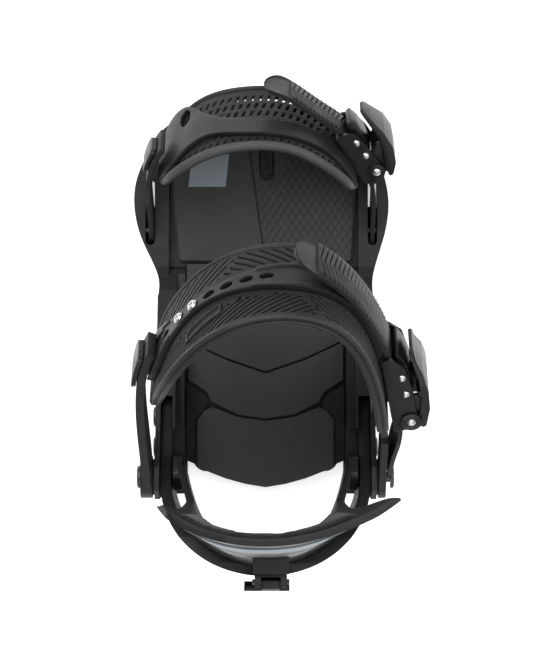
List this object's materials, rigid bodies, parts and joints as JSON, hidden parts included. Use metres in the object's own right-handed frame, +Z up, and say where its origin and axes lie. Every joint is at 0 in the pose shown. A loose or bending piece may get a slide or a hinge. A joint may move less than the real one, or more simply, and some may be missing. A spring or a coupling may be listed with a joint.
{
  "type": "snowboard binding",
  "caption": "Strap-in snowboard binding: base with mounting disc, footbed, heelcup, folding highback, ankle and toe straps with ratchet buckles.",
  "frame": {"origin": "centre of the mounting disc's bolt pattern, on the plane of the board's top sheet", "axes": "+Z up from the board, +Y towards the toe along the foot, +X towards the buckle side"},
  "size_m": [0.1716, 0.2967, 0.2469],
  "materials": {
    "nylon": "satin glass-filled nylon",
    "band": "satin bluish black",
    "footbed": "matt moulded foam",
    "bushing": "matt foam rubber",
    "strap_pad": "matt moulded strap padding",
    "liner": "matt foam liner",
    "ladder": "satin flexible plastic",
    "buckle_black": "black anodised",
    "lever_black": "semi-gloss",
    "steel": "bright zinc-plated",
    "dark_steel": "black oxide",
    "disc": "glass-filled nylon",
    "accent": "matt grey-blue print"
  },
  "bodies": {
    "chassis": {"base_plate": "nylon", "base_bushing_front": "bushing", "base_bushing_rear": "bushing", "mid_pad": "footbed", "heel_tray": "nylon", "heel_pad_centre": "footbed", "heel_pad_rear": "footbed", "heelcup": "nylon", "heelcup_bolts": "dark_steel", "highback_pivot_bolts": "dark_steel", "ankle_pivot_bolts": "dark_steel", "ankle_washers": "bushing", "toe_strap_pins": "steel"},
    "disc": {"mounting_disc": "disc"},
    "toe_ramp": {"toe_ramp": "nylon", "toe_pad_medial": "footbed", "toe_pad_lateral": "footbed", "toe_ramp_loop": "nylon"},
    "highback": {"highback_shell": "nylon", "highback_liner": "liner", "highback_accent": "accent", "lean_rack": "nylon"},
    "lean_block": {"lean_block": "nylon", "lean_pin": "steel"},
    "lean_lever": {"lean_lever": "lever_black"},
    "ankle_strap": {"ankle_pad": "strap_pad", "ankle_frame": "band", "ankle_screws": "steel", "ankle_connector": "nylon", "ankle_side_link": "nylon", "ankle_ladder": "ladder", "ankle_buckle_frame": "buckle_black", "ankle_buckle_pins": "steel"},
    "ankle_lever": {"ankle_lever": "lever_black", "ankle_drive_pawl": "steel"},
    "ankle_release": {"ankle_release": "lever_black"},
    "ankle_adjuster": {"ankle_adjuster": "lever_black"},
    "toe_strap": {"toe_cap_pad": "strap_pad", "toe_cap_frame": "band", "toe_connector": "nylon", "toe_ladder": "ladder", "toe_buckle_frame": "buckle_black", "toe_buckle_pins": "steel"},
    "toe_lever": {"toe_lever": "lever_black", "toe_drive_pawl": "steel"},
    "toe_release": {"toe_release": "lever_black"},
    "toe_adjuster": {"toe_adjuster": "lever_black"}
  },
  "joints": [
    {"name": "stance_turn", "type": "hinge", "parent": "chassis", "child": "disc", "pos_m": [0, 0, 0.004], "axis": [0, 0, 1], "range_deg": [-90, 90]},
    {"name": "toe_ramp_slide", "type": "slide", "parent": "chassis", "child": "toe_ramp", "axis": [0, 1, 0], "range_m": [0, 0.012]},
    {"name": "highback_fold", "type": "hinge", "parent": "chassis", "child": "highback", "pos_m": [0, -0.101, 0.037], "axis": [-1, 0, 0], "range_deg": [0, 20]},
    {"name": "lean_slide", "type": "slide", "parent": "highback", "child": "lean_block", "axis": [0, 0, 1], "range_m": [0, 0.02]},
    {"name": "lean_lever_flip", "type": "hinge", "parent": "lean_block", "child": "lean_lever", "pos_m": [0, -0.1586, 0.127], "axis": [-1, 0, 0], "range_deg": [0, 60]},
    {"name": "ankle_strap_swing", "type": "hinge", "parent": "chassis", "child": "ankle_strap", "pos_m": [0, -0.104, 0.06], "axis": [-1, 0, 0], "range_deg": [0, 20]},
    {"name": "ankle_lever_pull", "type": "hinge", "parent": "ankle_strap", "child": "ankle_lever", "pos_m": [0.08231, -0.0587, 0.0954], "axis": [0, 0.6428, -0.766], "range_deg": [0, 60], "stiffness_Nm_per_rad": 0.03, "springref_deg": -28.65},
    {"name": "ankle_release_lift", "type": "hinge", "parent": "ankle_strap", "child": "ankle_release", "pos_m": [0.07855, -0.04334, 0.10829], "axis": [0, 0.6428, -0.766], "range_deg": [0, 6], "stiffness_Nm_per_rad": 0.02, "springref_deg": -17.19},
    {"name": "ankle_adjuster_flip", "type": "hinge", "parent": "ankle_strap", "child": "ankle_adjuster", "pos_m": [-0.068, -0.02889, 0.12302], "axis": [0, 0.6428, -0.766], "range_deg": [0, 60]},
    {"name": "toe_strap_swing", "type": "hinge", "parent": "chassis", "child": "toe_strap", "pos_m": [0, 0.042, 0.012], "axis": [1, 0, 0], "range_deg": [0, 12]},
    {"name": "toe_lever_pull", "type": "hinge", "parent": "toe_strap", "child": "toe_lever", "pos_m": [0.06539, 0.08303, 0.03626], "axis": [0, 0.5446, -0.8387], "range_deg": [0, 55], "stiffness_Nm_per_rad": 0.03, "springref_deg": -28.65},
    {"name": "toe_release_lift", "type": "hinge", "parent": "toe_strap", "child": "toe_release", "pos_m": [0.05878, 0.09174, 0.04192], "axis": [0, 0.5446, -0.8387], "range_deg": [0, 6], "stiffness_Nm_per_rad": 0.02, "springref_deg": -17.19},
    {"name": "toe_adjuster_flip", "type": "hinge", "parent": "toe_strap", "child": "toe_adjuster", "pos_m": [-0.06385, 0.09106, 0.05317], "axis": [0, 0.6428, -0.766], "range_deg": [0, 50]}
  ]
}
